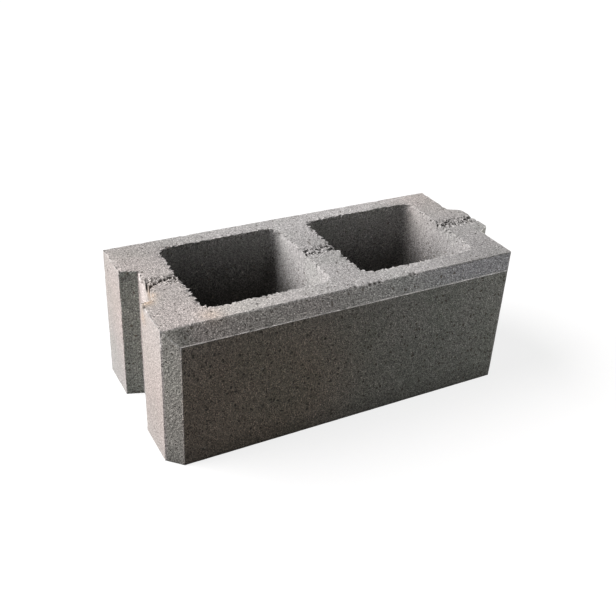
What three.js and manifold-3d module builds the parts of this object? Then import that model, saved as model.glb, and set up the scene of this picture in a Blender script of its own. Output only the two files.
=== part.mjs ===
// A hollow concrete masonry block for dry or mortared walling, in millimetres, +Z up.
//
// It is one cast piece. A vibrating press fills a steel mould that stands on a flat pallet, so the bed
// face is plain, and the tamper shoe that closes the mould from above leaves the chamfer along the top.
// Two tapered steel cores hang in the mould from a bar. They leave the two cells, and the bar leaves
// a shallow trough across the tops of the webs.
//
// The origin is on the bed face, in the middle of the 400 mm laying module: halfway between the ear
// planes and halfway between the two faces of the wall. +X runs along the wall towards the tongue,
// and +Y runs from the chamfered face to the plain one.

import * as THREE from 'three';
import { mergeVertices } from 'three/addons/utils/BufferGeometryUtils.js';
import Module from 'manifold-3d';

const wasm = await Module();
wasm.setup();

// The block's envelope. The length is from ear plane to ear plane, without the tongue.
const LENGTH = 400;
const WIDTH = 185;
const HEIGHT = 150;

// The chamfered face: the same setback along its two upright edges and its top edge. The tamper shoe's
// edge leaves a narrow level land at the foot of the top chamfer.
const CHAMFER = 14.5;
const TOP_CHAMFER_DROP = 13.5;
const TOP_CHAMFER_LAND = 0.8;

// The face shells and webs, as thick as they are at the top, where the cells are widest.
const FRONT_SHELL = 20;
const BACK_SHELL = 19;
const GROOVE_WEB = 32;
const MIDDLE_WEB = 36;
const TONGUE_WEB = 34;

// The cores narrow downwards by this much on every side, so that the mould lifts off.
const CORE_TAPER = 3;
const CORE_CORNER_RADIUS = 15;

// The upright groove in one end and the tongue on the other, half widths about the shells' middle.
const GROOVE_DEPTH = 18;
const GROOVE_HALF_MOUTH = 33.5;
const GROOVE_HALF_FLOOR = 27.5;
const TONGUE_REACH = 15;
const TONGUE_HALF_ROOT = 32.5;
const TONGUE_HALF_NOSE = 24;
const TONGUE_NOSE_RADIUS = 4;
const GROOVE_FLOOR_RADIUS = 1;

// The trough that the core bar leaves: a narrow bottom between two slack sides.
const TROUGH_DEPTH = 4.5;
const TROUGH_HALF_TOP = 9.5;
const TROUGH_HALF_BOTTOM = 2.5;

// A cutting body runs past the block by this much, and a corner arc is cut into this many steps.
const OVERRUN = 5;
const CORNER_STEPS = 10;

// Planes worked out from the driving dimensions.
const GROOVE_END_X = -LENGTH / 2;
const TONGUE_END_X = LENGTH / 2;
const FRONT_Y = -WIDTH / 2;
const BACK_Y = WIDTH / 2;
const SHOULDER_Y = FRONT_Y + CHAMFER;
const CELL_FRONT_Y = SHOULDER_Y + FRONT_SHELL;
const CELL_BACK_Y = BACK_Y - BACK_SHELL;
const MIDDLE_Y = (CELL_FRONT_Y + CELL_BACK_Y) / 2;
const CELL_WIDTH = CELL_BACK_Y - CELL_FRONT_Y;
const CELL_LENGTH = (LENGTH - GROOVE_DEPTH - GROOVE_WEB - MIDDLE_WEB - TONGUE_WEB) / 2;
const FIRST_CELL_X = GROOVE_END_X + GROOVE_DEPTH + GROOVE_WEB + CELL_LENGTH / 2;
const SECOND_CELL_X = TONGUE_END_X - TONGUE_WEB - CELL_LENGTH / 2;

// A closed outline through the corners, each { x, y } with an optional radius that rounds it off.
function roundedShape(corners) {
  const shape = new THREE.Shape();
  corners.forEach((corner, index) => {
    const here = new THREE.Vector2(corner.x, corner.y);
    const before = corners[(index + corners.length - 1) % corners.length];
    const after = corners[(index + 1) % corners.length];
    const arrive = here.clone().sub(before).normalize();
    const leave = new THREE.Vector2(after.x, after.y).sub(here).normalize();
    const turn = Math.atan2(arrive.cross(leave), arrive.dot(leave));
    const radius = corner.radius ?? 0;
    const setback = radius * Math.tan(Math.abs(turn) / 2);
    const start = here.clone().addScaledVector(arrive, -setback);
    if (index === 0) {
      shape.moveTo(start.x, start.y);
    } else {
      shape.lineTo(start.x, start.y);
    }
    if (radius > 0) {
      const inward = new THREE.Vector2(-arrive.y, arrive.x).multiplyScalar(Math.sign(turn));
      const centre = start.clone().addScaledVector(inward, radius);
      const from = Math.atan2(-inward.y, -inward.x);
      shape.absarc(centre.x, centre.y, radius, from, from + turn, turn < 0);
    }
  });
  shape.closePath();
  return shape;
}

// A closed mesh as a solid that can be joined and cut.
function solidOf(geometry) {
  const bare = geometry.clone();
  bare.deleteAttribute('normal');
  bare.deleteAttribute('uv');
  const welded = mergeVertices(bare, 1e-4);
  return new wasm.Manifold(new wasm.Mesh({
    numProp: 3,
    vertProperties: new Float32Array(welded.attributes.position.array),
    triVerts: new Uint32Array(welded.index.array),
  }));
}

// A solid as a mesh geometry, with flat facets.
function geometryOf(solid) {
  const mesh = solid.getMesh();
  const indexed = new THREE.BufferGeometry();
  indexed.setAttribute('position', new THREE.BufferAttribute(mesh.vertProperties, 3));
  indexed.setIndex(new THREE.BufferAttribute(mesh.triVerts, 1));
  const geometry = indexed.toNonIndexed();
  geometry.computeVertexNormals();
  return geometry;
}

// An upright prism on the bed plane, from an outline seen from above.
function uprightPrism(shape, height) {
  return new THREE.ExtrudeGeometry(shape, {
    depth: height,
    curveSegments: CORNER_STEPS,
    bevelEnabled: false,
  });
}

// A prism that runs along the whole block, tongue included, from an outline in the YZ plane.
function lengthwisePrism(shape) {
  const length = LENGTH + TONGUE_REACH + 2 * OVERRUN;
  const prism = new THREE.ExtrudeGeometry(shape, { depth: length, bevelEnabled: false });
  prism.rotateX(Math.PI / 2);
  prism.rotateZ(Math.PI / 2);
  prism.translate(GROOVE_END_X - OVERRUN, 0, 0);
  return prism;
}

// The block seen from above: chamfered front corners, the groove on the left, the tongue on the right.
function planOutline() {
  return roundedShape([
    { x: GROOVE_END_X + CHAMFER, y: FRONT_Y },
    { x: TONGUE_END_X - CHAMFER, y: FRONT_Y },
    { x: TONGUE_END_X, y: SHOULDER_Y },
    { x: TONGUE_END_X, y: MIDDLE_Y - TONGUE_HALF_ROOT },
    { x: TONGUE_END_X + TONGUE_REACH, y: MIDDLE_Y - TONGUE_HALF_NOSE, radius: TONGUE_NOSE_RADIUS },
    { x: TONGUE_END_X + TONGUE_REACH, y: MIDDLE_Y + TONGUE_HALF_NOSE, radius: TONGUE_NOSE_RADIUS },
    { x: TONGUE_END_X, y: MIDDLE_Y + TONGUE_HALF_ROOT },
    { x: TONGUE_END_X, y: BACK_Y },
    { x: GROOVE_END_X, y: BACK_Y },
    { x: GROOVE_END_X, y: MIDDLE_Y + GROOVE_HALF_MOUTH },
    { x: GROOVE_END_X + GROOVE_DEPTH, y: MIDDLE_Y + GROOVE_HALF_FLOOR, radius: GROOVE_FLOOR_RADIUS },
    { x: GROOVE_END_X + GROOVE_DEPTH, y: MIDDLE_Y - GROOVE_HALF_FLOOR, radius: GROOVE_FLOOR_RADIUS },
    { x: GROOVE_END_X, y: MIDDLE_Y - GROOVE_HALF_MOUTH },
    { x: GROOVE_END_X, y: SHOULDER_Y },
  ]);
}

// The wedge that the tamper shoe takes off the top of the chamfered face, down to its land.
function topChamferWedge() {
  const slope = TOP_CHAMFER_DROP / (CHAMFER - TOP_CHAMFER_LAND);
  return lengthwisePrism(roundedShape([
    { x: FRONT_Y - OVERRUN, y: HEIGHT - TOP_CHAMFER_DROP },
    { x: FRONT_Y + TOP_CHAMFER_LAND, y: HEIGHT - TOP_CHAMFER_DROP },
    { x: SHOULDER_Y + OVERRUN, y: HEIGHT + OVERRUN * slope },
    { x: FRONT_Y - OVERRUN, y: HEIGHT + OVERRUN * slope },
  ]));
}

// The trough that the core bar leaves across the tops of the three webs.
function coreBarTrough() {
  const spread = (TROUGH_HALF_TOP - TROUGH_HALF_BOTTOM) / TROUGH_DEPTH;
  const halfMouth = TROUGH_HALF_TOP + OVERRUN * spread;
  return lengthwisePrism(roundedShape([
    { x: MIDDLE_Y - TROUGH_HALF_BOTTOM, y: HEIGHT - TROUGH_DEPTH },
    { x: MIDDLE_Y + TROUGH_HALF_BOTTOM, y: HEIGHT - TROUGH_DEPTH },
    { x: MIDDLE_Y + halfMouth, y: HEIGHT + OVERRUN },
    { x: MIDDLE_Y - halfMouth, y: HEIGHT + OVERRUN },
  ]));
}

// One steel core: a rounded oblong at the block's top that narrows evenly to the bed and past it.
function core(centreX) {
  const halfLength = CELL_LENGTH / 2;
  const halfWidth = CELL_WIDTH / 2;
  const top = roundedShape([
    { x: -halfLength, y: -halfWidth, radius: CORE_CORNER_RADIUS },
    { x: halfLength, y: -halfWidth, radius: CORE_CORNER_RADIUS },
    { x: halfLength, y: halfWidth, radius: CORE_CORNER_RADIUS },
    { x: -halfLength, y: halfWidth, radius: CORE_CORNER_RADIUS },
  ]);
  const geometry = uprightPrism(top, HEIGHT + 2 * OVERRUN);
  geometry.translate(0, 0, -OVERRUN);
  const point = geometry.attributes.position;
  for (let index = 0; index < point.count; index += 1) {
    const inset = CORE_TAPER * (1 - point.getZ(index) / HEIGHT);
    point.setX(index, point.getX(index) * (1 - inset / halfLength));
    point.setY(index, point.getY(index) * (1 - inset / halfWidth));
  }
  geometry.translate(centreX, MIDDLE_Y, 0);
  return geometry;
}

// The cast body: the moulded outline, less all that the shoe, the bar and the cores keep out of it.
function castBlock() {
  const cutters = [
    topChamferWedge(),
    coreBarTrough(),
    core(FIRST_CELL_X),
    core(SECOND_CELL_X),
  ];
  return cutters.reduce(
    (solid, cutter) => solid.subtract(solidOf(cutter)),
    solidOf(uprightPrism(planOutline(), HEIGHT)),
  );
}

// Vibrated dry-mix concrete: a matt warm grey.
const concrete = new THREE.MeshStandardMaterial({ color: '#a39d97', roughness: 0.95, metalness: 0 });

const block = new THREE.Mesh(geometryOf(castBlock()), concrete);
block.name = 'block';

const group = new THREE.Group();
group.add(block);

export default group;
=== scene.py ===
# A hollow concrete masonry block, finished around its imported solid.
# The frame is the solid's own, with +X towards the tongue and +Y towards the plain back. Skin and relief
# are worked out in millimetres, and turned to metres when a mesh is written.

import itertools
import math

import bmesh
import bpy
import numpy as np
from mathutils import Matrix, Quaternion, Vector, geometry, noise


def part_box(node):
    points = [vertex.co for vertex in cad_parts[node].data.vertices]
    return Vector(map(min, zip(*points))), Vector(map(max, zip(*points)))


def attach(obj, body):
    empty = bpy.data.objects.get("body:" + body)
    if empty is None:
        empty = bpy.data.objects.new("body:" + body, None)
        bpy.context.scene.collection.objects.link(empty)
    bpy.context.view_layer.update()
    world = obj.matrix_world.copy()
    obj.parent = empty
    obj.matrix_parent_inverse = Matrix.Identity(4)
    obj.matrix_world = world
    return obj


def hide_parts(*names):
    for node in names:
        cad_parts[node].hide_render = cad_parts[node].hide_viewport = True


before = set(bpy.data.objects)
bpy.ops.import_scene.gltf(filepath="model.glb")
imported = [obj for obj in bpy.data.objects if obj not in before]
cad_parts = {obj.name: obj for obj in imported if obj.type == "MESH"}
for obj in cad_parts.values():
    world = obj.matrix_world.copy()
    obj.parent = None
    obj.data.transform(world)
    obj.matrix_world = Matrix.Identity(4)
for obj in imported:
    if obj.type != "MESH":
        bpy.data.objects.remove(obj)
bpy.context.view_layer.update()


# ---- Cast body ---------------------------------------------------------------------------------------
# One casting of dry-mix concrete, vibrated and pressed in a steel box mould around two tapered cores.
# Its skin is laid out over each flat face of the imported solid: points a millimetre apart along the
# arrises, the cell rims and the trough, which are all ragged, and four apart where the steel left it flat.

MM = 0.001
low, high = (np.array(corner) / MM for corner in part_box("block"))

# The casting's own sizes, and the middles of its cells, which lie between the webs and the shells. They
# are rounded, because the frame's corners are short floats
GROOVE_DEPTH = 18.0
GROOVE_WEB = 32.0
TONGUE_WEB = 34.0
TONGUE_REACH = 15.0
BACK_SHELL = 19.0
CELL_HALF_LENGTH = 70.0
CELL_HALF_WIDTH = 65.75
CELL_CORNER = 15.0
CELL_MIDDLES = (
    round(low[0] + GROOVE_DEPTH + GROOVE_WEB + CELL_HALF_LENGTH, 3),
    round(high[0] - TONGUE_REACH - TONGUE_WEB - CELL_HALF_LENGTH, 3),
)
MIDDLE_Y = round(high[1] - BACK_SHELL - CELL_HALF_WIDTH, 3)
TROUGH_HALF_TOP = 9.5
TROUGH_HALF_BOTTOM = 2.5
TROUGH_DEPTH = 4.5

# How far apart the skin's points lie along crumbled and sharp edges, on the top bed and elsewhere, how
# wide the finest bands are, and how fast the steps grow beyond them
COARSENED = 1
CRUMB_STEP = 0.85 * COARSENED
ARRIS_STEP = 1.15 * COARSENED
BED_STEP = 2.8
OPEN_STEP = 4.4
STEP_GROWTH = 0.5
STEP_LEVELS = 5
RIM_BAND = 3.2
TROUGH_BAND = 1.5
ARRIS_BAND = 1.2
# The skin is also fine under the trough's mouth, where it breaks into the groove
MOUTH_DEPTH = 13.0

# A length that is next to nothing on the block, and one that is longer than all of it
HAIR = 0.1
FAR = 1e3
# Faces that turn less than the first are one flat face, and an edge that turns more than the second is
# an arris
FLAT_TURN = 0.005
SHARP_TURN = math.radians(25)

random = np.random.default_rng(7)


def beside_core(places):
    """How far each place lies outside the nearer core's top outline, below 0 within it."""
    nearest = np.full(len(places), np.inf)
    for middle in CELL_MIDDLES:
        along = np.abs(places[:, 0] - middle) - (CELL_HALF_LENGTH - CELL_CORNER)
        across = np.abs(places[:, 1] - MIDDLE_Y) - (CELL_HALF_WIDTH - CELL_CORNER)
        outside = np.hypot(np.maximum(along, 0), np.maximum(across, 0))
        nearest = np.minimum(nearest, outside + np.minimum(np.maximum(along, across), 0) - CELL_CORNER)
    return nearest


def rim_distance(places):
    """How far each place is from the nearer cell's top rim."""
    return np.hypot(beside_core(places), places[:, 2] - high[2])


def trough_distance(places):
    """How far each place is from the box that the core bar's trough takes up."""
    aside = np.maximum(np.abs(places[:, 1] - MIDDLE_Y) - TROUGH_HALF_TOP, 0)
    depth = np.where(places[:, 0] < low[0] + GROOVE_DEPTH + 5 * HAIR, MOUTH_DEPTH, TROUGH_DEPTH)
    below = np.maximum(high[2] - depth - places[:, 2], 0)
    return np.hypot(aside, below)


def wanted_step(places, arris):
    """How far apart the skin's points lie at each place, for its distance from an arris."""
    spare = np.minimum(rim_distance(places) - RIM_BAND, trough_distance(places) - TROUGH_BAND)
    crumb_step = np.maximum(CRUMB_STEP + STEP_GROWTH * spare, CRUMB_STEP)
    arris_step = np.maximum(ARRIS_STEP + STEP_GROWTH * (arris - ARRIS_BAND), ARRIS_STEP)
    open_step = np.where(places[:, 2] > high[2] - HAIR, BED_STEP, OPEN_STEP)
    return np.minimum(np.minimum(crumb_step, arris_step), open_step)


def flat_faces(node):
    """The node's shape in millimetres, with each flat stretch of its skin made one face."""
    shape = bmesh.new()
    shape.from_mesh(node.data)
    bmesh.ops.scale(shape, vec=(1 / MM,) * 3, verts=shape.verts)
    bmesh.ops.remove_doubles(shape, verts=shape.verts, dist=0.1 * HAIR)
    bmesh.ops.dissolve_limit(shape, angle_limit=FLAT_TURN, verts=shape.verts, edges=shape.edges)
    shape.edges.index_update()
    return shape


def is_sharp(edge):
    """Whether the edge is an arris of the casting."""
    return edge.calc_face_angle(0) > SHARP_TURN


def is_core_edge(edge):
    """Whether a core or the core bar formed the edge, rather than the outer mould."""
    middle = np.array([(edge.verts[0].co + edge.verts[1].co) / 2])
    over_trough = abs(middle[0, 1] - MIDDLE_Y) < TROUGH_HALF_TOP + HAIR
    in_trough = over_trough and middle[0, 2] > high[2] - TROUGH_DEPTH - HAIR
    return bool(beside_core(middle)[0] < 5 * HAIR or in_trough)


def split_edge(edge, points):
    """Adds points along the edge, and gives the list of its points' numbers from end to end."""
    start, end = (np.array(vert.co) for vert in edge.verts)
    length = np.linalg.norm(end - start)
    arris = np.array([0.0 if is_sharp(edge) else FAR])
    travelled = [0.0]
    while travelled[-1] < length:
        here = start + (end - start) * travelled[-1] / length
        travelled.append(travelled[-1] + wanted_step(here[None], arris)[0])
    shares = np.array(travelled[1:-1]) / travelled[-1]
    numbers = [edge.verts[0].index]
    for share in shares:
        numbers.append(len(points))
        points.append(start + (end - start) * share)
    return numbers + [edge.verts[1].index]


def within(places, corners):
    """Whether each flat place is inside the outline through these corners."""
    x, y = places[:, :1], places[:, 1:]
    start, end = corners, np.roll(corners, -1, axis=0)
    spans = (start[:, 1] > y) != (end[:, 1] > y)
    rise = np.where(end[:, 1] == start[:, 1], 1.0, end[:, 1] - start[:, 1])
    meets = (end[:, 0] - start[:, 0]) * (y - start[:, 1]) / rise + start[:, 0]
    return (spans & (x < meets)).sum(axis=1) % 2 == 1


def line_distance(places, starts, ends):
    """How far each flat place is from the nearest of these straight lines."""
    nearest = np.full(len(places), FAR)
    for start, end in zip(starts, ends):
        way = end - start
        share = np.clip((places - start) @ way / (way @ way), 0, 1)
        nearest = np.minimum(nearest, np.linalg.norm(places - start - share[:, None] * way, axis=1))
    return nearest


# How far each even point is shaken out of its row, in steps
SHAKE = 0.16


def even_places(corners, step):
    """Flat places in staggered rows `step` apart, a little shaken, over the outline's extent."""
    least, most = corners.min(axis=0), corners.max(axis=0)
    across = np.arange(least[0], most[0] + step, step)
    up = np.arange(least[1], most[1] + step, step * math.sqrt(3) / 2)
    grid = np.stack(np.meshgrid(across, up), axis=-1)
    grid[1::2, :, 0] += step / 2
    grid += random.uniform(-SHAKE, SHAKE, grid.shape) * step
    return grid.reshape(-1, 2)


# Open pores, where the sand bridged against the steel: one in so many square millimetres, and few of
# them large
PORE_SHARE = 1 / 900
PORE_RADII = (0.45, 1.35)
PORE_RARITY = 4
PORE_MARGIN = 1.6
PORE_SPACING = 1.5
# Each ring's radius and depth in pore radii, round a middle that is deepest
PORE_MIDDLE_DEPTH = 1.15
PORE_RINGS = ((0.6, 0.95), (1.0, 0.12), (1.3, 0.0))
PORE_STEP = 1.1
PORE_STRETCH = (0.75, 1.3)
PORE_UNEVEN = (0.88, 1.12)


def scatter_pores(corners, starts, ends):
    """Middles and radii of the pores in a flat face with this outline, clear of its arrises."""
    least, most = corners.min(axis=0), corners.max(axis=0)
    count = int(np.prod(most - least) * PORE_SHARE)
    middles = random.uniform(least, most, (count, 2))
    radii = PORE_RADII[0] + (PORE_RADII[1] - PORE_RADII[0]) * random.random(count) ** PORE_RARITY
    kept = within(middles, corners) & (line_distance(middles, starts, ends) > radii + PORE_MARGIN)
    chosen = []
    for number in np.flatnonzero(kept):
        gaps = np.linalg.norm(middles[chosen] - middles[number], axis=1) - radii[chosen] - radii[number]
        if (gaps >= PORE_SPACING).all():
            chosen.append(number)
    return middles[chosen], radii[chosen]


def pore_places(middle, radius):
    """The flat places of one pore, ring by ring, and how deep each ring sinks."""
    stretch = random.uniform(*PORE_STRETCH)
    turn = random.uniform(0, math.pi)
    places, depths = [middle], [PORE_MIDDLE_DEPTH * radius]
    for size, depth in PORE_RINGS:
        count = max(6, round(2 * math.pi * radius * size / PORE_STEP))
        for angle in np.linspace(0, 2 * math.pi, count, endpoint=False) + random.uniform(0, 1):
            reach = radius * size * random.uniform(*PORE_UNEVEN)
            along, across = reach * math.cos(angle) * stretch, reach * math.sin(angle) / stretch
            places.append(middle + np.array([
                along * math.cos(turn) - across * math.sin(turn),
                along * math.sin(turn) + across * math.cos(turn),
            ]))
            depths.append(depth * radius)
    return np.array(places), np.array(depths)


# How near to a border, in steps, and to a pore, in its radii, the even points may lie
BORDER_ROOM = 0.55
PORE_ROOM = 1.7


def fill_face(corners, borders, arrises, plane, origin):
    """Flat places all over a face, each as close to the next as that spot wants, and pore depths."""
    laid, depths = [np.empty((0, 2))], [np.empty(0)]
    middles, radii = scatter_pores(corners, borders[:, 0], borders[:, 1])
    for middle, radius in zip(middles, radii):
        ring_places, ring_depths = pore_places(middle, radius)
        laid.append(ring_places)
        depths.append(ring_depths)
    for level in range(STEP_LEVELS):
        step = CRUMB_STEP * (OPEN_STEP / CRUMB_STEP) ** (level / (STEP_LEVELS - 1))
        half_level = (OPEN_STEP / CRUMB_STEP) ** (0.5 / (STEP_LEVELS - 1))
        places = even_places(corners, step)
        places = places[within(places, corners)]
        to_arris = line_distance(places, arrises[:, 0], arrises[:, 1])
        wanted = wanted_step(places @ plane + origin, to_arris)
        places = places[(wanted >= step / half_level) & (wanted < step * half_level)]
        places = places[line_distance(places, borders[:, 0], borders[:, 1]) > BORDER_ROOM * step]
        for middle, radius in zip(middles, radii):
            places = places[np.linalg.norm(places - middle, axis=1) > PORE_ROOM * radius + 3 * HAIR]
        laid.append(places)
        depths.append(np.zeros(len(places)))
    return np.concatenate(laid), np.concatenate(depths)


def flat_ends(edges, plane, origin):
    """The two ends of each edge as flat places in the plane."""
    ends = np.array([[vert.co for vert in edge.verts] for edge in edges]).reshape(-1, 2, 3)
    return (ends - origin) @ plane.T


# Triangles only fill the outline, and points nearer together than this are one
INSIDE_OUTLINE = 1
WELD = 1e-6


def lay_skin(shape):
    """Points, triangles, distances from the nearest arris and pore depths over all of the shape."""
    points = [np.array(vert.co) for vert in shape.verts]
    splits = {edge.index: split_edge(edge, points) for edge in shape.edges}
    arris = [FAR] * len(points)
    pores = [0.0] * len(points)
    triangles = []
    for face in shape.faces:
        outline = []
        for loop in face.loops:
            numbers = splits[loop.edge.index]
            outline += (numbers if loop.vert == loop.edge.verts[0] else numbers[::-1])[:-1]
        facing = np.array(face.normal)
        longest = max(face.edges, key=lambda edge: edge.calc_length())
        along = np.array((longest.verts[1].co - longest.verts[0].co).normalized())
        plane = np.stack([along, np.cross(facing, along)])
        origin = np.array(face.verts[0].co)
        corners = (np.array([vert.co for vert in face.verts]) - origin) @ plane.T
        moulded = [edge for edge in face.edges if is_sharp(edge) and not is_core_edge(edge)]
        arrises = flat_ends(moulded, plane, origin)
        borders = flat_ends(face.edges, plane, origin)
        laid, depths = fill_face(corners, borders, arrises, plane, origin)

        flat_outline = (np.array([points[number] for number in outline]) - origin) @ plane.T
        flat = np.concatenate([flat_outline, laid])
        reach = line_distance(flat, arrises[:, 0], arrises[:, 1])
        for number, distance in zip(outline, reach):
            arris[number] = min(arris[number], distance)
        numbers = outline + list(range(len(points), len(points) + len(laid)))
        points.extend(laid @ plane + origin)
        arris.extend(reach[len(outline):])
        pores.extend(depths)
        _, _, flat_triangles, sources, _, _ = geometry.delaunay_2d_cdt(
            [Vector(place) for place in flat], [], [list(range(len(outline)))], INSIDE_OUTLINE, WELD
        )
        kept = [numbers[source[0]] for source in sources]
        triangles.extend([kept[corner] for corner in triangle] for triangle in flat_triangles)
    return np.array(points), triangles, np.array(arris), np.array(pores)


def new_object(name, points, faces):
    """A new object in the scene with this mesh, from places in millimetres."""
    mesh = bpy.data.meshes.new(name)
    mesh.from_pydata((points * MM).tolist(), [], faces)
    made = bpy.data.objects.new(name, mesh)
    bpy.context.scene.collection.objects.link(made)
    return made


shape = flat_faces(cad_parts["block"])
points, triangles, arris, pore_depth = lay_skin(shape)
shape.free()
block = new_object("cast_block", points, triangles)
facing = np.empty(len(points) * 3, np.float32)
block.data.vertex_normals.foreach_get("vector", facing)
facing = facing.reshape(-1, 3).astype(float)


# ---- Moulded faces -----------------------------------------------------------------------------------
# Fresh concrete slides against the steel as the mould lifts off, so the outer faces are dense and flat,
# with a low, uneven skin.

SKIN_WAVE = 9.0
SKIN_RELIEF = 0.22
BED_WAVE = 5.5
BED_RELIEF = 0.22


def lumps(places, size, seed):
    """Smooth random relief between about -1 and 1, in lumps `size` mm across, at each place."""
    moved = places / size + seed * 31.7
    return np.array([noise.noise(place) for place in moved.tolist()])


def ramp(values, start, end):
    """0 up to start, 1 from end on, and a smooth rise between."""
    share = np.clip((values - start) / (end - start), 0, 1)
    return share * share * (3 - 2 * share)


sink = SKIN_RELIEF * (0.5 + 0.5 * lumps(points, SKIN_WAVE, 1)) + pore_depth
bed = points[:, 2] > high[2] - HAIR
sink += BED_RELIEF * bed * (0.5 + 0.5 * lumps(points, BED_WAVE, 2))


# ---- Cell rims ---------------------------------------------------------------------------------------
# The tapered cores drag the top edge of each cell as they leave, so the rims crumble into single
# grains of sand and grit, with gaps between them, over the last few millimetres of wall and bed.

RIM_REACH = 3.4
RIM_TRACE = 0.02
RIM_LUMP = 9.0
RIM_SWELL = 0.9
SMALL_RIM_LUMP = 1.7
SMALL_RIM_SWELL = 0.35
RIM_GRAIN = 3.0
GRAIN_GAP = 0.7
LOST_GRAIN = 1.2
LOST_SHARE = 0.3
# The relief is half as deep where the skin lies level, on the bed
BED_CALM = 0.5
LEVEL = (0.5, 0.95)
# How ragged the rims are: least on each cell's side towards the tongue, and most, by these shares of the
# half length, on its side towards the groove
CALM_RIM = 0.5
TORN_RIM = 1.2
TORN_SPAN = (0.2, 0.95)
# Teeth: their size and depth, the shares of them that stand proud or are gone, and their swell
RIM_TOOTH = 3.1
TOOTH_DEPTH = 1.9
PROUD_SHARE = 0.34
PROUD_REACH = 1.3
PROUD_RADIUS = 0.85
PROUD_ROUND = 0.6
GONE_SHARE = 0.3
TOOTH_LUMP = 6.5
TOOTH_SWELL = 0.35

# Large factors without a common measure, which mix a cell's numbers into one that looks random
MIX_CELL = np.array([12.9898, 78.233, 37.719])
MIX_SEED = 4.581
MIX_SINE = 43758.5453
# A grain's middle keeps this far from the sides of its cell, and the gap round it is fully open this
# far out, both as shares of the cell
GRAIN_ROOM = 0.15
GAP_AWAY = 0.8


def chance(cells, seed):
    """A random number between 0 and 1 for each whole-numbered cell."""
    mixed = np.sin(cells @ MIX_CELL + seed * MIX_SEED) * MIX_SINE
    return mixed - np.floor(mixed)


def grains(places, size, seed):
    """For each place, its distance from the nearest grain's middle in grain sizes, and a number that
    is that grain's own, between 0 and 1."""
    scaled = places / size
    home = np.floor(scaled)
    nearest, own = np.full(len(places), np.inf), np.zeros(len(places))
    for offset in itertools.product((-1, 0, 1), repeat=3):
        cell = home + offset
        shaken = np.stack([chance(cell, seed + axis) for axis in range(3)], axis=1)
        middle = cell + GRAIN_ROOM + (1 - 2 * GRAIN_ROOM) * shaken
        distance = np.linalg.norm(middle - scaled, axis=1)
        closer = distance < nearest
        nearest = np.where(closer, distance, nearest)
        own = np.where(closer, chance(cell, seed + 3), own)
    return nearest, own


def between_grains(away):
    """0 at a grain's middle, and 1 in the gaps between grains."""
    return np.clip(away / GAP_AWAY, 0, 1) ** 2


def fading(distances, reach):
    """1 at no distance, and a soft bell-shaped fall over about this reach."""
    return np.exp(-((distances / reach) ** 2))


rim = fading(rim_distance(points), RIM_REACH)
near_rim = np.flatnonzero(rim > RIM_TRACE)
there = points[near_rim]
middle_x = np.where(there[:, 0] < (CELL_MIDDLES[0] + CELL_MIDDLES[1]) / 2, *CELL_MIDDLES)
to_middle = np.stack([middle_x - there[:, 0], MIDDLE_Y - there[:, 1]], axis=1)
ragged = CALM_RIM + (TORN_RIM - CALM_RIM) * ramp(to_middle[:, 0] / CELL_HALF_LENGTH, *TORN_SPAN)
away, own = grains(there, RIM_GRAIN, 11)
gap = GRAIN_GAP * between_grains(away)
lost = LOST_GRAIN * (own < LOST_SHARE)
swell = RIM_SWELL * lumps(there, RIM_LUMP, 3) + SMALL_RIM_SWELL * lumps(there, SMALL_RIM_LUMP, 4)
calm = 1 - BED_CALM * ramp(facing[near_rim, 2], *LEVEL)
sink[near_rim] += rim[near_rim] * ragged * calm * (gap + lost - swell)

# Grains that stand into the cell, or have gone from its side, give the rim its teeth
away, own = grains(there, RIM_TOOTH, 12)
proud = (own > 1 - PROUD_SHARE) * np.clip(1 - away / PROUD_RADIUS, 0, 1) ** PROUD_ROUND
tooth = (own < GONE_SHARE) - PROUD_REACH * proud + TOOTH_SWELL * lumps(there, TOOTH_LUMP, 13)
tooth *= TOOTH_DEPTH * rim[near_rim] * ragged
in_corner = np.abs(to_middle) - np.array([CELL_HALF_LENGTH, CELL_HALF_WIDTH]) + CELL_CORNER
outward = -np.sign(to_middle) * np.maximum(in_corner, 0.1 * HAIR)
outward /= np.linalg.norm(outward, axis=1)[:, None]
points[near_rim, :2] += outward * tooth[:, None]


# ---- Trough of the core bar --------------------------------------------------------------------------
# The bar that carries the cores is pulled out of the fresh mix, so its trough across the webs is not
# moulded but torn. Crumbs of grit fall back and half fill it, and deep cracks stay open between them.

# How far the torn bottom lies below the bed, and the crumbs and swells upon it
TEAR_FALL = 0.9
FALL_SPAN = (0, 0.4)
CRUMB_GRAIN = 2.6
CRUMB_RISE = 2.0
CRUMB_LEVEL = 0.35
CRUMB_ROUND = 0.7
TEAR_LUMP = 6.0
TEAR_SWELL = 0.6
LEAST_FALL = 0.05
# The tearing fades out this far below the cast trough, and beside it from within its edge to beyond
TEAR_FADE = 7.0
TEAR_INSIDE = 1
TEAR_OUTSIDE = 3
TEAR_TRACE = 0.01
# A gap's outline is uneven, and it sinks to its full depth from 1.25 to 0.5 of its half size
GAP_DEPTH = 7.5
GAP_LUMP = 2.2
GAP_UNEVEN = 0.9
GAP_RIM = 1.25
GAP_SLOPE = 0.75
# It is shallower beside a cell, where the web's wall stayed up, and painted dark inside as shade
WALL_GAP = 0.3
WALL_SPAN = (0, 2.5)
GAP_SHADE = 2.5

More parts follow.
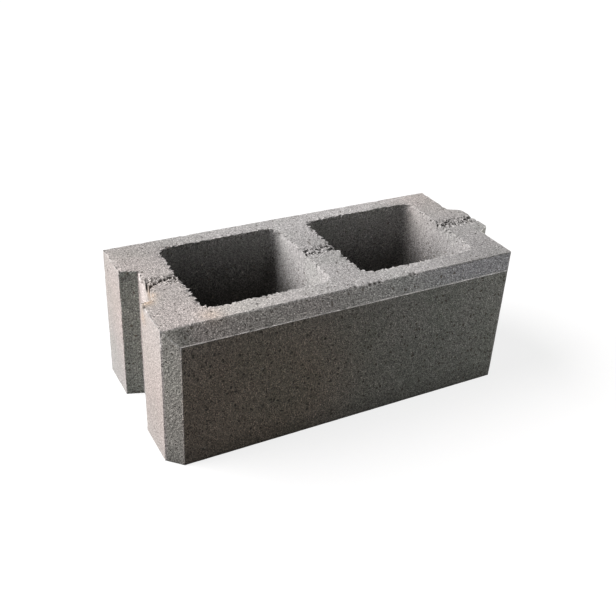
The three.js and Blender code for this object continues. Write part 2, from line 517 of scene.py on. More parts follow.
# Open gaps between the crumbs on the three webs: middle x and y, half length and half width
GAPS = (
    (-181.2, 0.9, 1.4, 1.5),
    (-179.0, 4.2, 2.2, 1.7),
    (-174.6, 5.2, 2.0, 1.8),
    (-175.9, 10.2, 1.3, 1.3),
    (-179.1, 12.2, 1.4, 1.3),
    (-181.6, 11.2, 1.6, 1.8),
    (-169.8, 6.8, 1.4, 1.3),
    (-166.7, 10.2, 2.1, 1.9),
    (-162.2, 10.3, 2.0, 1.6),
    (-157.2, 12.0, 2.6, 1.9),
    (-152.6, 12.6, 1.4, 1.5),
    (-152.8, 7.4, 1.3, 1.8),
    (-160.6, 4.0, 2.6, 0.9),
    (-7.6, 9.2, 1.4, 1.5),
    (-4.3, 10.6, 1.7, 1.6),
    (-7.5, 3.6, 1.6, 2.0),
    (-3.1, 3.2, 1.8, 1.4),
    (1.1, 3.7, 2.2, 1.8),
    (8.8, 9.0, 3.2, 1.5),
    (15.6, 12.8, 2.0, 1.3),
    (20.5, 11.3, 3.4, 1.3),
    (7.5, 1.0, 3.2, 0.9),
    (19.1, 2.5, 1.7, 1.4),
    (23.2, 5.2, 3.0, 1.9),
    (166.6, 11.4, 2.0, 2.0),
    (170.9, 6.7, 3.0, 2.4),
    (180.1, 12.3, 3.4, 1.3),
    (176.5, 8.0, 1.6, 1.4),
    (185.0, 4.8, 3.0, 1.7),
    (193.3, 1.4, 1.6, 1.5),
    (190.7, 4.4, 1.4, 1.4),
    (194.0, 10.7, 1.5, 1.4),
    (199.0, 7.2, 1.9, 2.2),
    (202.0, 2.8, 1.6, 1.9),
    (205.5, 10.1, 2.0, 2.6),
    (208.2, 2.0, 1.5, 1.6),
    (212.0, 12.2, 3.6, 2.2),
)


def gap_depth(places):
    """How deep the deepest gap is at each place."""
    uneven = np.stack([lumps(places, GAP_LUMP, seed) for seed in (26, 27)], axis=1)
    shaken = places[:, :2] + GAP_UNEVEN * uneven
    depth = np.zeros(len(places))
    for x, y, half_length, half_width in GAPS:
        share = np.hypot((shaken[:, 0] - x) / half_length, (shaken[:, 1] - y) / half_width)
        depth = np.maximum(depth, GAP_DEPTH * ramp(GAP_RIM - share, 0, GAP_SLOPE))
    return depth


across = np.abs(points[:, 1] - MIDDLE_Y)
side_share = np.clip((TROUGH_HALF_TOP - across) / (TROUGH_HALF_TOP - TROUGH_HALF_BOTTOM), 0, 1)
cast_depth = TROUGH_DEPTH * side_share
below = np.clip(1 - (high[2] - cast_depth - points[:, 2]) / TEAR_FADE, 0, 1)
torn = (1 - ramp(across, TROUGH_HALF_TOP - TEAR_INSIDE, TROUGH_HALF_TOP + TEAR_OUTSIDE)) * below
near_tear = np.flatnonzero(torn > TEAR_TRACE)
there = points[near_tear] * (1, 1, 0)
away, own = grains(there, CRUMB_GRAIN, 21)
crumb = CRUMB_RISE * (own - CRUMB_LEVEL) * (1 - CRUMB_ROUND * away**2)
fall = TEAR_FALL * ramp(side_share[near_tear], *FALL_SPAN) + crumb + TEAR_SWELL * lumps(there, TEAR_LUMP, 5)
hole = gap_depth(there) * (WALL_GAP + (1 - WALL_GAP) * ramp(beside_core(there), *WALL_SPAN))
tear_drop = torn[near_tear] * (np.maximum(fall, LEAST_FALL) + hole - cast_depth[near_tear])
gap_shade = np.zeros(len(points))
gap_shade[near_tear] = torn[near_tear] * np.clip(GAP_SHADE * hole / GAP_DEPTH, 0, 1)


# ---- Groove burrs ------------------------------------------------------------------------------------
# The former of the end groove drags damp mix up over its top edge as it is drawn. Some of it sets there
# as a burr and as a lump in the corner, beside a short split under the mouth of the trough.

GROOVE_FLOOR_X = low[0] + GROOVE_DEPTH
GROOVE_HALF_FLOOR = 27.5
FLANK_SLOPE = 1 / 3
# The burr along the groove's top edge: how thick and proud it is, and where it swells and thins out
BURR_THICKNESS = 5.0
BURR_WIDTH = 3.0
BURR_START = (16, 19)
BURR_END = (20, 33)
BURR_FADE = 14.0
BURR_EDGE = 1
# The lump grows towards the front corner and leans along the flank there
LUMP_HEIGHT = 18.0
LUMP_WIDTH = 6.0
LUMP_START = -2.0
LUMP_RUN = 18
LUMP_EDGE = 5
LUMP_CORNER = (10, 20)
SWELLING_LUMP = 3.0
SWELLING_UNEVEN = 0.25
# The split's place, size and painted shade, and the depths under the bed where it is closed and fully open
SPLIT_Y = 8.3
SPLIT_HALF_WIDTH = 1.3
SPLIT_DEPTH = 2.2
SPLIT_FOOT = 13
SPLIT_HEAD = 9
SPLIT_SHADE = 1.2

into_web = points[:, 0] - GROOVE_FLOOR_X
to_mouth = np.clip(1 + into_web / GROOVE_DEPTH, 0, 1)
past_flank = np.abs(points[:, 1] - MIDDLE_Y) - GROOVE_HALF_FLOOR + FLANK_SLOPE * np.minimum(into_web, 0)
reach = to_mouth * (1 - ramp(into_web, 0, BURR_FADE)) * (1 - ramp(past_flank, 0, BURR_FADE))
burr = BURR_WIDTH * ramp(points[:, 1], *BURR_START) * (1 - ramp(points[:, 1], *BURR_END))
burr *= ramp(points[:, 2] - high[2] + BURR_THICKNESS, -BURR_EDGE, BURR_EDGE)
lump = LUMP_WIDTH * np.clip((LUMP_START - points[:, 1]) / LUMP_RUN, 0, 1)
lump *= ramp(points[:, 2] - high[2] + LUMP_HEIGHT, -LUMP_EDGE, LUMP_EDGE)
swelling = reach * (burr + lump) * (1 + SWELLING_UNEVEN * lumps(points, SWELLING_LUMP, 41))
points[:, 0] -= swelling
points[:, 1] -= FLANK_SLOPE * swelling * ramp(-points[:, 1], *LUMP_CORNER)
split = fading(points[:, 1] - SPLIT_Y, SPLIT_HALF_WIDTH)
split *= ramp(points[:, 2] - high[2], -SPLIT_FOOT, -SPLIT_HEAD) * (np.abs(into_web) < 1)
sink += SPLIT_DEPTH * split
gap_shade += SPLIT_SHADE * split


# ---- Worn arrises ------------------------------------------------------------------------------------
# Knocks in the yard take small chips out of the arrises, and single grains break out along the top
# ones, where the mould's lid bore down.

# Chips come in patches, and none where the bed stood on its pallet
CHIP_LUMP = 12.0
CHIP_PATCH = (0.3, 0.55)
CHIP_REACH = 1.4
CHIP_DEPTH = 0.7
SMALL_CHIP_LUMP = 2.0
CHIP_UNEVEN = 0.5
PALLET_CLEAR = (1, 6)
# Crumbling along the top arrises of the ears and the groove: size and depth of its grains, the share of
# them that are gone, the gaps between the others, and how far in and down it reaches
CRUMBLE_GRAIN = 2.4
CRUMBLE_DEPTH = 0.9
CRUMBLE_SHARE = 0.4
CRUMBLE_GAP = 0.5
LID_REACH = 2.2
LID_FADE = (-4, -1)
LID_TRACE = 0.05
EAR_DEPTH = 5
CHAMFER = 14.5
GROOVE_HALF_MOUTH = 33.5

# Single grains gone from a top arris: x, y, radius and depth. Their middles lie a little under the bed, and
# their hollows are painted dark as shade
LOST_GRAINS = (
    (3.6, -77.6, 1.7, 1.8),
    (20.2, -78.6, 1.9, 2.0),
    (25.4, -79.0, 1.7, 1.8),
    (31.6, -78.6, 1.8, 1.8),
    (69.0, -78.2, 1.6, 1.6),
    (74.0, -78.2, 1.7, 1.7),
    (-199.3, 41.4, 1.8, 1.7),
    (-199.6, -31.8, 2.6, 2.2),
    (-182.6, 33.8, 1.6, 1.3),
    (-182.6, 26.5, 1.4, 1.3),
)
LOST_LEVEL = 0.4
LOST_SHADE = 1.3

# The finished skin keeps this far inside the solid's box, and is smooth across any lesser turn
CLEARANCE = 0.02
SMOOTH_TURN = math.radians(38)

chipped = ramp(lumps(points, CHIP_LUMP, 7), *CHIP_PATCH) * fading(arris, CHIP_REACH)
chipped *= ramp(points[:, 2], *PALLET_CLEAR)
sink += CHIP_DEPTH * chipped * (1 + CHIP_UNEVEN * lumps(points, SMALL_CHIP_LUMP, 8))

on_ear = (points[:, 0] < low[0] + EAR_DEPTH) & (points[:, 1] > low[1] + CHAMFER + 1.5)
in_mouth = (points[:, 0] < GROOVE_FLOOR_X + 1) & (np.abs(points[:, 1] - MIDDLE_Y) < GROOVE_HALF_MOUTH + 0.5)
lid = fading(arris, LID_REACH) * ramp(points[:, 2] - high[2], *LID_FADE) * (on_ear | in_mouth)
near_lid = np.flatnonzero(lid > LID_TRACE)
away, own = grains(points[near_lid], CRUMBLE_GRAIN, 31)
crumbled = (own < CRUMBLE_SHARE) + CRUMBLE_GAP * between_grains(away)
sink[near_lid] += CRUMBLE_DEPTH * lid[near_lid] * crumbled
for x, y, radius, depth in LOST_GRAINS:
    near = fading(np.linalg.norm(points - (x, y, high[2] - LOST_LEVEL), axis=1), radius)
    sink += depth * near
    gap_shade += LOST_SHADE * near

points = points - facing * sink[:, None]
points[near_tear, 2] -= tear_drop
points = np.clip(points, low + CLEARANCE, high - CLEARANCE)
block.data.vertices.foreach_set("co", (points * MM).astype(np.float32).ravel())
block.data.update()
block.data.shade_smooth()
block.data.set_sharp_from_angle(angle=SMOOTH_TURN)
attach(block, "root")
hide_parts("block")


# ---- Stains, damp and painted light and shade --------------------------------------------------------
# One mix cures unevenly. Cement blooms pale in some places, damp stays greenish in patches, and handling
# rubs the arrises. Light and shade are painted in too: warm key light on the faces turned to it, a cool
# green on the shaded ones, faces and spots lighter or darker to their light, shade in the cells, pores
# and gaps, and highlights along edges. Each of these is stored as a number for every point of the casting's
# skin.

x, y, z = points.T
facing_x, facing_y, facing_z = facing.T
from_middle = np.abs(y - MIDDLE_Y)

# How far the skin has to turn towards an axis, from 0 to 1, to count as square on to it, as sloping to
# it, or as one of the slanted faces
SQUARE_ON = (0.8, 0.95)
SLOPING = (0.3, 0.6)
TOP_SLOPE = 0.4
FLANK_SLANT = 0.5
FLOOR_SLANT = 0.8
TONGUE_SLANT = 0.4
# Where each part begins and where it is whole, in millimetres along the block or from an edge of it
CORNER_SPAN = (165, 182)
LEFT_SPAN = (183, 187)
HALF_SPAN = (-60, 60)
WALL_EDGE = (-0.5, 1.5)
FRONT_BAND = 7.5
TONGUE_BAND = 16

# The parts of the casting, each 1 within it, 0 elsewhere, and mostly with a soft edge
in_cell = ramp(-beside_core(points), *WALL_EDGE) * (z > 0.5)
on_end = ramp(np.abs(facing_x), *SQUARE_ON) * (1 - in_cell)
on_front = ramp(-facing_y, *SQUARE_ON) * (y < low[1] + FRONT_BAND)
fair_side = ramp(-facing_y, *SLOPING) * (y < low[1] + CHAMFER - 1)
on_chamfer = fair_side * (1 - on_front)
top_chamfer = on_chamfer * (facing_z > TOP_SLOPE)
left_chamfer = on_chamfer * ramp(-x, *LEFT_SPAN)
chamfer_corner = top_chamfer * ramp(-x, *CORNER_SPAN) * (1 - left_chamfer)
in_groove = (x < GROOVE_FLOOR_X - 0.5) & (from_middle < GROOVE_HALF_MOUTH - HAIR)
groove_flank = in_groove * (facing_y < -FLANK_SLANT)
groove_floor = (x < GROOVE_FLOOR_X + 4) & (from_middle < GROOVE_HALF_MOUTH + 0.5)
groove_floor &= facing_x < -FLOOR_SLANT
tongue_flank = (x > high[0] - TONGUE_BAND) & (y < 0) & (facing_y < -TONGUE_SLANT)
tongue_half = ramp(x, *HALF_SPAN)


def keep_value(name, values):
    """Stores a number for each point of the block's skin, for its material to read."""
    stored = block.data.attributes.new(name, "FLOAT", "POINT")
    stored.data.foreach_set("value", values.astype(np.float32))


def total(start, *shares):
    """The start, with the product of each (strength, share) pair added to it."""
    for strength, share in shares:
        start = start + strength * share
    return start


def spots(middles):
    """The sum of soft round spots, each (x, y, z, radius, strength), at each point of the skin."""
    strengths = np.zeros(len(points))
    for *middle, radius, strength in middles:
        strengths += strength * fading(np.linalg.norm(points - middle, axis=1), radius)
    return strengths


# Rubbed arrises, paler partly as a painted highlight where an edge catches the light: more in some
# stretches than in others, none at the pallet, and least down the groove. The edges at the head and the
# foot of the top chamfer stayed sharp
RUB_WAVE = 22.0
SMALL_RUB_WAVE = 6.0
LEAST_RUB = 0.25
RUB_RANGE = 0.6
RUB_CLEAR = (2, 8)
GROOVE_RUB = 0.45
GROOVE_RUB_SPAN = (6, 9)
CHAMFER_DROP = 13.5
SHARP_REACH = 2.5
SHARP_HEAD = 0.85
SHARP_FOOT = 0.4
SHARPER_FOOT = 0.2
wave = lumps(points * (1, 0, 0), RUB_WAVE, 9) + 0.5 * lumps(points * (1, 0, 0), SMALL_RUB_WAVE, 10)
rub_and_highlight = (LEAST_RUB + RUB_RANGE * ramp(wave, -0.5, 0.5)) * ramp(z, *RUB_CLEAR)
upright = (x < GROOVE_FLOOR_X + 2) & (z < high[2] - LUMP_HEIGHT)
rub_and_highlight *= np.where(upright, GROOVE_RUB * ramp(x - low[0], *GROOVE_RUB_SPAN), 1)
head = np.hypot(y - low[1] - CHAMFER, z - high[2])
foot = np.hypot(y - low[1], z - high[2] + CHAMFER_DROP)
rub_and_highlight *= 1 - SHARP_HEAD * fading(head, SHARP_REACH)
rub_and_highlight *= 1 - (SHARP_FOOT + SHARPER_FOOT * tongue_half) * fading(foot, SHARP_REACH)
keep_value("rub_and_highlight", rub_and_highlight)
keep_value("arris_mm", arris)

# The pale line of crumbs along a cell's rim, partly a painted highlight on its edge, in millimetres from it
RIM_LINE = (-1.8, -0.3)
keep_value("rim_line", ramp(-rim_distance(points), *RIM_LINE))

# Painted shade: pores, gaps and hollows are darkened, and so are the cells, downwards and on the walls that
# face the front shell
PORE_DARKNESS = 0.8
CELL_DARKNESS = 0.23
DEPTH_DARKNESS = 0.6
WALL_DARKNESS = 0.7
DEPTH_SPAN = (10, 80)
WALL_TURN = (0.3, 0.7)
WALL_SPAN_X = (-60, 10)
keep_value("pore", np.clip(PORE_DARKNESS * pore_depth + gap_shade, 0, 1))
# Painted shade in the cells: darker downwards and on the walls that face the front shell, out of the key's
# light, and most in the cell at the groove end, far from the fill
deep = ramp(high[2] - z, *DEPTH_SPAN)
shaded_wall = ramp(-facing_y, *WALL_TURN) * ramp(-x, *WALL_SPAN_X)
cell_shade = CELL_DARKNESS + DEPTH_DARKNESS * deep + WALL_DARKNESS * shaded_wall
keep_value("cell", in_cell * np.clip(cell_shade, 0, 1))

# How far the sand stands out in tone: on the plain faces, and then more or less on some parts
keep_value("open", total(
    1.05,
    (0.3, fair_side),
    (0.15, on_front),
    (0.45, in_cell),
    (-0.47, on_end),
    (-0.3, left_chamfer),
    (0.3, groove_flank),
))

# A cool green painted on the fair side and down the groove's flank, as the cool light on these shaded
# faces, and the chamfer's cooler end
COOL_LIGHT_SPAN = (40, 150)
COOL_SPAN = (30, 150)
FLANK_COOL_LIGHT = 0.5
COOLNESS = 0.4
fair_cool_light = total(
    0,
    (0.15, tongue_half),
    (0.12, ramp(x, *COOL_LIGHT_SPAN) * (1 - on_front)),
    (0.3, left_chamfer),
    (0.3, chamfer_corner),
)
keep_value("cool_light_tint", FLANK_COOL_LIGHT * groove_flank + fair_side * fair_cool_light)
keep_value("cool", COOLNESS * on_chamfer * ramp(x, *COOL_SPAN))

# Cement bloom together with painted light and shade, paler above 0 and darker below: soft round spots and
# whole parts, painted lighter or darker to the light each gets, and then bands along the foot
BLOOM_AND_LIGHT_SPOTS = (
    (-125, -66, 150, 50, 0.15),
    (0, -66, 150, 60, -0.1),
    (168, -70, 150, 65, -0.32),
    (10, 8, 150, 60, -0.17),
    (165, 8, 110, 60, -0.24),
    (168, -38, 145, 30, 0.1),
    (60, 88, 150, 70, 0.08),
    (-165, 85, 150, 45, -0.12),
    (-11, -25, 125, 35, 0.1),
    (-165, -30, 150, 25, -0.1),
    (185, 60, 150, 25, -0.06),
    (-180, -68, 150, 22, -0.06),
    (-182, 2, 138, 8, -0.22),
    (-203, -60, 130, 45, 0.07),
    (-203, 68, 130, 45, 0.07),
    (-203, -60, 30, 60, -0.1),
    (-203, 68, 30, 60, -0.06),
)
FAIR_BLOOM_AND_LIGHT_SPOTS = (
    (-120, -85, 143, 70, -0.03),
    (-20, -85, 143, 60, -0.09),
    (60, -85, 143, 45, -0.01),
    (50, -92, 20, 60, -0.05),
    (150, -92, 60, 90, -0.04),
    (-55, -92, 110, 50, 0.04),
    (150, -92, 15, 80, -0.09),
    (-140, -92, 15, 60, 0.06),
    (-192, -85, 30, 40, -0.16),
    (-192, -85, 100, 35, 0.05),
)
FOOT_BAND = (8, 26)
FOOT_LINE = (1.5, 4)
TONGUE_TOP = (85, 130)
FLOOR_BACK = (2, 24)
on_fair_side = y < low[1] + CHAMFER - 1.5
keep_value("bloom_and_painted_light", total(
    1 + np.where(on_fair_side, spots(FAIR_BLOOM_AND_LIGHT_SPOTS), spots(BLOOM_AND_LIGHT_SPOTS)),
    # Painted light and shade: the chamfers are painted lighter or darker to their light
    (0.13, left_chamfer),
    (-0.1, chamfer_corner),
    # The fair side is darker towards its foot, and most along its bottom edge
    (-0.2, fair_side * (1 - ramp(z, *FOOT_BAND))),
    (-0.25, fair_side * (1 - ramp(z, *FOOT_LINE))),
    # Painted light: the tongue's shaded flank is painted lighter, and so is the back of the groove's floor,
    # in the back ear's penumbra
    (1.2, tongue_flank * (0.1 + 0.9 * ramp(z, *TONGUE_TOP))),
    (0.45, groove_floor * ramp(y, *FLOOR_BACK)),
    # Painted light and shade on the groove and the chamfers as a whole
    (0.08, in_groove),
    (-0.11, groove_flank),
    (-0.06, on_chamfer),
    (-0.07, top_chamfer),
))

# Tan stains of clayey sand, a painted warm key light on the faces turned to the key, and the browner end of
# the fair side
TAN_SPOTS = (
    (-148, -70, 150, 11, 0.3),
    (-193, -26, 150, 6, 0.7),
    (-187, -15, 148, 6, 0.6),
    (-182, 2, 141, 7, 0.5),
    (-199, -31, 138, 7, 0.4),
)
KEY_LIT_SPOTS = ((-190, -70, 70, 120, 0.6), (-200, 66, 110, 60, 0.4), (190, 85, 150, 60, 0.35))
BROWN_SPOTS = ((-160, -92, 60, 150, 1.0), (-60, -92, 60, 80, 0.4))
CHAMFER_BROWN = 0.22
KEY_TURN = (0.5, 0.9)
towards_key = ramp(np.maximum(-facing_x, facing_z), *KEY_TURN)
brown = spots(BROWN_SPOTS) * on_front + CHAMFER_BROWN * on_chamfer * (1 - tongue_half)
keep_value("tan", np.clip(spots(TAN_SPOTS), 0, 1))
keep_value("warm", np.clip(spots(KEY_LIT_SPOTS), 0, 1) * towards_key)
keep_value("brown", np.clip(brown, 0, 1))


# ---- Concrete ----------------------------------------------------------------------------------------
# Dry-cast grey concrete: cement paste over sand and fine grit, pressed with hardly any free water. The
# face is open and matt, salted with pale and dark grains, paler where rubbed, and painted with light and
# shade: warm where the key falls, a cool green on shaded faces, highlights along edges, and shade in its
# cells, pores and gaps.


def linear(hex_colour):
    """An sRGB hex colour as linear red, green, blue and a full alpha."""
    parts = [int(hex_colour[place : place + 2], 16) / 255 for place in (1, 3, 5)]
    return [p / 12.92 if p <= 0.04045 else ((p + 0.055) / 1.055) ** 2.4 for p in parts] + [1.0]


def add(tree, kind, settings=None, links=None):
    """Adds a node to the tree with its settings and input values, and links its inputs to outputs."""
    node = tree.nodes.new("ShaderNode" + kind)
    for name, value in (settings or {}).items():
        if isinstance(name, str) and hasattr(node, name):
            setattr(node, name, value)
        else:
            node.inputs[name].default_value = value
    for name, output in (links or {}).items():
        tree.links.new(output, node.inputs[name])
    return node


PASTE = "#b9b7b6"
# Painted warm key light
KEY_LIT_PASTE = "#c2b2aa"
BROWN_PASTE = "#b5a79b"
# Damp green, and also a painted cool light on the shaded faces
DAMP_AND_COOL_LIGHT = "#8f9a8e"
COOL_PASTE = "#b2b0be"
# Painted shade inside the cells
PAINTED_CELL_SHADE = "#585653"
PALE_GRAIN = "#e6e1da"
# Dark grit, and painted shade in small holes
DARK_GRIT_AND_PIT_SHADE = "#7a756e"
# Pale: rubbed edges, and painted highlights where edges catch the light
PALE_EDGE = "#e2e0dd"
TAN_STAIN = "#cdb297"
# Painted shade in pores, gaps and hollows
PORE_SHADE = "#3d3a36"

# Open paste has hardly any gloss, and its sand stands proud by less than a millimetre
ROUGHNESS = 0.95
GLOSS = 0.1
RELIEF_MM = 0.8
FINE_RELIEF = 0.5

# Sand is 1 to 2.5 mm across, and streaks run ten times as long as they are wide. The damp mix cures in
# patches as wide as a hand. A cell of pale or dark grit holds one 1 to 3 mm grain, which sand shakes out
# of round and which has a steep edge
SAND_MM = 2.6
FINE_SAND_MM = 1.2
STREAK_MM = 1.6
STREAK_STRETCH = 0.1
DAMP_PATCH_MM = 60.0
PALE_GRAIN_MM = 6.0
DARK_GRAIN_MM = 4.2
GRAIN_SHAKE_MM = 4.0
GRAIN_EDGE = 8.0

# How strongly each sand and the streaks pull the tone up and down
SAND_TONE = 1.15
FINE_SAND_TONE = 2.4
STREAK_TONE = 0.25
MEAN_TONE = (SAND_TONE + FINE_SAND_TONE + STREAK_TONE) / 2

# What the values of each pattern are turned into: the half size of a pale or a dark grain in its cell,
# the shares of damp and of rubbed crumbs, and how ragged and how rubbed an arris is
PALE_SIZE = {"From Min": 0.7, "From Max": 1.0, "To Min": 0.0, "To Max": 0.22}
DARK_SIZE = {"From Min": 0.4, "From Max": 1.0, "To Min": 0.0, "To Max": 0.3}
DAMP_SHARE = {"From Min": 0.42, "From Max": 0.68, "To Min": 0.0, "To Max": 0.2}
CRUMB_SHARE = {"From Min": 0.42, "From Max": 0.6, "To Min": 0.0, "To Max": 0.9}
RAGGED_MM = {"From Min": 0.35, "From Max": 0.65, "To Min": -0.45, "To Max": 0.45}
EDGE_SHARE = {"From Min": 0.35, "From Max": 1.0, "To Min": 1.0, "To Max": 0.0}

concrete = bpy.data.materials.new("pressed_concrete")
concrete.use_nodes = True
tree = concrete.node_tree
tree.nodes.clear()

# The numbers that the casting's skin stores for each of its points
stored = {}
for name in (
    "open", "bloom_and_painted_light", "cool_light_tint", "cool", "cell", "warm",
    "brown", "tan", "pore", "rub_and_highlight", "rim_line", "arris_mm",
):
    stored[name] = add(tree, "Attribute", {"attribute_name": name}).outputs["Fac"]

place = add(tree, "TexCoord").outputs["Object"]
settings = {"Scale": 1 / (SAND_MM * MM), "Detail": 2.0, "Roughness": 0.6}
sand = add(tree, "TexNoise", settings, {"Vector": place})
fine = add(tree, "TexNoise", {"Scale": 1 / (FINE_SAND_MM * MM), "Detail": 1.0}, {"Vector": place})
patch = add(tree, "TexNoise", {"Scale": 1 / (DAMP_PATCH_MM * MM), "Detail": 3.0}, {"Vector": place})
drawn = add(tree, "VectorMath", {"operation": "MULTIPLY", 1: (1.0, 1.0, STREAK_STRETCH)}, {0: place})
streak = add(tree, "TexNoise", {"Scale": 1 / (STREAK_MM * MM), "Detail": 1.0}, {"Vector": drawn.outputs[0]})
settings = {"operation": "SCALE", "Scale": GRAIN_SHAKE_MM * MM}
shake = add(tree, "VectorMath", settings, {0: sand.outputs["Color"]})
shaken = add(tree, "VectorMath", {"operation": "ADD"}, {0: place, 1: shake.outputs[0]}).outputs[0]

# The share of light that sand and paste give back, about 1 on average. It is more uneven on the open
# fair face than on the closed end faces, and pale grains stand out further than dark ones
tone = add(tree, "Math", {"operation": "MULTIPLY", 1: FINE_SAND_TONE}, {0: fine.outputs["Fac"]})
for strength, pattern in ((SAND_TONE, sand), (STREAK_TONE, streak)):
    parts = {0: pattern.outputs["Fac"], 2: tone.outputs[0]}
    tone = add(tree, "Math", {"operation": "MULTIPLY_ADD", 1: strength}, parts)
tone = add(tree, "Math", {"operation": "SUBTRACT", 1: MEAN_TONE}, {0: tone.outputs[0]})
tone = add(tree, "Math", {"operation": "MULTIPLY"}, {0: tone.outputs[0], 1: stored["open"]})
tone = add(tree, "Math", {"operation": "EXPONENT"}, {0: tone.outputs[0]})
# The bloom attribute brings in cement bloom and the light and shade painted on faces and spots
mottle = add(tree, "Math", {"operation": "MULTIPLY"}, {0: tone.outputs[0], 1: stored["bloom_and_painted_light"]})

# Grains that show: each cell of the pattern holds one, of its own size, and most are the colour of paste.
# The dark ones are dark grit and also painted shade, as most of them are holes, and grow with the openness
# of the face
grain_shares = []
for cell_mm, size_range in ((PALE_GRAIN_MM, PALE_SIZE), (DARK_GRAIN_MM, DARK_SIZE)):
    cells = add(tree, "TexVoronoi", {"Scale": 1 / (cell_mm * MM)}, {"Vector": shaken})
    own = add(tree, "SeparateColor", {}, {0: cells.outputs["Color"]})
    size = add(tree, "MapRange", size_range, {"Value": own.outputs[0]}).outputs[0]
    if size_range is DARK_SIZE:
        size = add(tree, "Math", {"operation": "MULTIPLY"}, {0: size, 1: stored["open"]}).outputs[0]
    inside = add(tree, "Math", {"operation": "SUBTRACT"}, {0: size, 1: cells.outputs["Distance"]})
    settings = {"operation": "MULTIPLY", "use_clamp": True, 1: GRAIN_EDGE}
    grain_shares.append(add(tree, "Math", settings, {0: inside.outputs[0]}).outputs[0])
pale_share, dark_share = grain_shares

# From the paste outwards, each next colour is laid over the last by its own share. Damp lies in patches,
# with a painted cool light on shaded faces; the warm colour is painted key light and the cells' colour
# painted shade. Crumbs along the cell rims are rubbed pale, and so is the ragged line of an arris, both
# partly a painted highlight, and the darkest colour is painted shade in pores and gaps
damp_patch = add(tree, "MapRange", DAMP_SHARE, {"Value": patch.outputs["Fac"]})
damp_and_light_share = add(tree, "Math", {"operation": "ADD"}, {0: damp_patch.outputs[0], 1: stored["cool_light_tint"]})
crumbs = add(tree, "MapRange", CRUMB_SHARE, {"Value": sand.outputs["Fac"]})
rim_share = add(tree, "Math", {"operation": "MULTIPLY"}, {0: stored["rim_line"], 1: crumbs.outputs[0]})
ragged_mm = add(tree, "MapRange", RAGGED_MM, {"Value": sand.outputs["Fac"]})
edge_mm = add(tree, "Math", {"operation": "ADD"}, {0: stored["arris_mm"], 1: ragged_mm.outputs[0]})
near_edge = add(tree, "MapRange", EDGE_SHARE, {"Value": edge_mm.outputs[0]})
rub_and_highlight_share = add(tree, "Math", {"operation": "MULTIPLY"}, {0: near_edge.outputs[0], 1: stored["rub_and_highlight"]})

colour = add(tree, "RGB").outputs[0]
colour.default_value = linear(PASTE)
for share, hex_colour in (
    (stored["warm"], KEY_LIT_PASTE),
    (stored["brown"], BROWN_PASTE),
    (damp_and_light_share.outputs[0], DAMP_AND_COOL_LIGHT),
    (stored["cool"], COOL_PASTE),
    (stored["cell"], PAINTED_CELL_SHADE),
    (stored["tan"], TAN_STAIN),
):
    settings = {"data_type": "RGBA", 7: linear(hex_colour)}
    colour = add(tree, "Mix", settings, {0: share, 6: colour}).outputs[2]
sandy = add(tree, "VectorMath", {"operation": "SCALE"}, {0: colour, "Scale": mottle.outputs[0]})
colour = sandy.outputs[0]
for share, hex_colour in (
    (rub_and_highlight_share.outputs[0], PALE_EDGE),
    (rim_share.outputs[0], PALE_EDGE),
    (pale_share, PALE_GRAIN),
    (dark_share, DARK_GRIT_AND_PIT_SHADE),
    (stored["pore"], PORE_SHADE),
):
    settings = {"data_type": "RGBA", 7: linear(hex_colour)}
    colour = add(tree, "Mix", settings, {0: share, 6: colour}).outputs[2]

# Grain relief: sand stands proud of the paste, and dark grains are mostly holes
both_sands = {0: fine.outputs["Fac"], 2: sand.outputs["Fac"]}
relief = add(tree, "Math", {"operation": "MULTIPLY_ADD", 1: FINE_RELIEF}, both_sands)
relief = add(tree, "Math", {"operation": "SUBTRACT"}, {0: relief.outputs[0], 1: dark_share})
bump = add(tree, "Bump", {"Strength": 1.0, "Distance": RELIEF_MM * MM}, {"Height": relief.outputs[0]})
settings = {"Roughness": ROUGHNESS, "Specular IOR Level": GLOSS}
shader = add(tree, "BsdfPrincipled", settings, {"Base Color": colour, "Normal": bump.outputs[0]})
add(tree, "OutputMaterial", {}, {"Surface": shader.outputs[0]})
block.data.materials.clear()
block.data.materials.append(concrete)


# ---- Floor -------------------------------------------------------------------------------------------
# A white paper sweep that lies flat under the block. It shows white with the block's soft shadow on it,
# and gives the block little light back.

FLOOR_HALF = 4000.0
FLOOR_GLOW = 0.82
FLOOR_SHADE = "#8c8c8c"
FLOOR_BOUNCE = "#616161"

corners = np.array([(-1, -1, 0), (1, -1, 0), (1, 1, 0), (-1, 1, 0)]) * FLOOR_HALF
floor = new_object("floor", corners, [(0, 1, 2, 3)])


def seen_share(tree):
    """Adds what is 1 where the camera sees, by itself or in gloss or glass, and 0 for bounced light."""
    path = add(tree, "LightPath")
    seen = path.outputs["Is Camera Ray"]
    for ray in ("Is Glossy Ray", "Is Transmission Ray"):
        seen = add(tree, "Math", {"operation": "MAXIMUM"}, {0: seen, 1: path.outputs[ray]}).outputs[0]
    return seen


# White paper: matt, and as bright as the room behind it wherever no shadow falls
paper = bpy.data.materials.new("white_paper")
paper.use_nodes = True
tree = paper.node_tree
tree.nodes.clear()
glow = add(tree, "Emission", {"Color": (1, 1, 1, 1), "Strength": FLOOR_GLOW})
shade = add(tree, "BsdfDiffuse", {"Color": linear(FLOOR_SHADE)})
seen_paper = add(tree, "AddShader", {}, {0: glow.outputs[0], 1: shade.outputs[0]})
bounce = add(tree, "BsdfDiffuse", {"Color": linear(FLOOR_BOUNCE)})
shaders = {0: seen_share(tree), 1: bounce.outputs[0], 2: seen_paper.outputs[0]}
both = add(tree, "MixShader", {}, shaders)
add(tree, "OutputMaterial", {}, {"Surface": both.outputs[0]})
floor.data.materials.append(paper)


# ---- Light -------------------------------------------------------------------------------------------
# A large soft key stands high behind the groove end, a weak fill low beyond the tongue end, and an even,
# slightly blue room all round lifts the shadows.

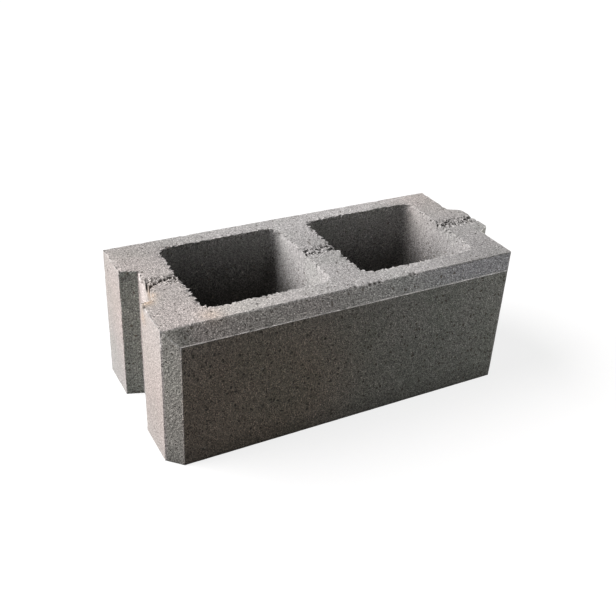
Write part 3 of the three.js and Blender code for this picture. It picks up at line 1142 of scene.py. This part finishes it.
KEY_FROM = Vector((-0.72, 0.43, 0.55))
KEY_STRENGTH = 5.4
KEY_COLOUR = (1.0, 0.975, 0.975)
KEY_SPREAD = math.radians(56)
FILL_PLACE = Vector((0.52, -0.44, 0.18))
FILL_AIM = Vector((0.1, -0.09, 0.08))
FILL_POWER = 0.635
FILL_COLOUR = (1.0, 0.985, 0.9)
FILL_SIZE = 0.35
ROOM_STRENGTH = 0.032
ROOM_COLOUR = (0.75, 0.875, 1.0, 1.0)


def place_object(name, data, place, back, roll=0.0):
    """A lamp or camera in the scene at this place. Its own back, +Z, turns along `back`."""
    made = bpy.data.objects.new(name, data)
    made.location = place
    made.rotation_mode = "QUATERNION"
    made.rotation_quaternion = back.to_track_quat("Z", "Y") @ Quaternion((0, 0, 1), roll)
    bpy.context.scene.collection.objects.link(made)
    return made


key = bpy.data.lights.new("key", "SUN")
key.energy = KEY_STRENGTH
key.color = KEY_COLOUR
key.angle = KEY_SPREAD
place_object("key", key, (0, 0, 0), KEY_FROM)

fill = bpy.data.lights.new("fill", "AREA")
fill.energy = FILL_POWER
fill.color = FILL_COLOUR
fill.size = FILL_SIZE
place_object("fill", fill, FILL_PLACE, FILL_PLACE - FILL_AIM)

room = bpy.data.worlds.new("room")
room.use_nodes = True
bpy.context.scene.world = room
tree = room.node_tree
tree.nodes.clear()
ambient = add(tree, "Background", {"Color": ROOM_COLOUR, "Strength": ROOM_STRENGTH})
backdrop = add(tree, "Background", {"Color": (1, 1, 1, 1)})
shaders = {0: seen_share(tree), 1: ambient.outputs[0], 2: backdrop.outputs[0]}
both = add(tree, "MixShader", {}, shaders)
add(tree, "OutputWorld", {}, {"Surface": both.outputs[0]})


# ---- Camera ------------------------------------------------------------------------------------------
# A normal lens stands off the block's front corner at the groove end, and looks down on its middle at
# about 31 degrees. It is rolled by a few degrees.

CAMERA_PLACE = Vector((-0.4100, -0.7090, 0.5710))
CAMERA_AIM = Vector((0.0028, 0.0135, 0.0750))
CAMERA_ROLL = math.radians(3.24)
CAMERA_LENS = 51.03
CAMERA_SENSOR = 36.0

lens = bpy.data.cameras.new("camera")
lens.sensor_width = CAMERA_SENSOR
lens.lens = CAMERA_LENS
camera = place_object("camera", lens, CAMERA_PLACE, CAMERA_PLACE - CAMERA_AIM, CAMERA_ROLL)
bpy.context.scene.camera = camera
bpy.context.scene.view_settings.view_transform = "Standard"
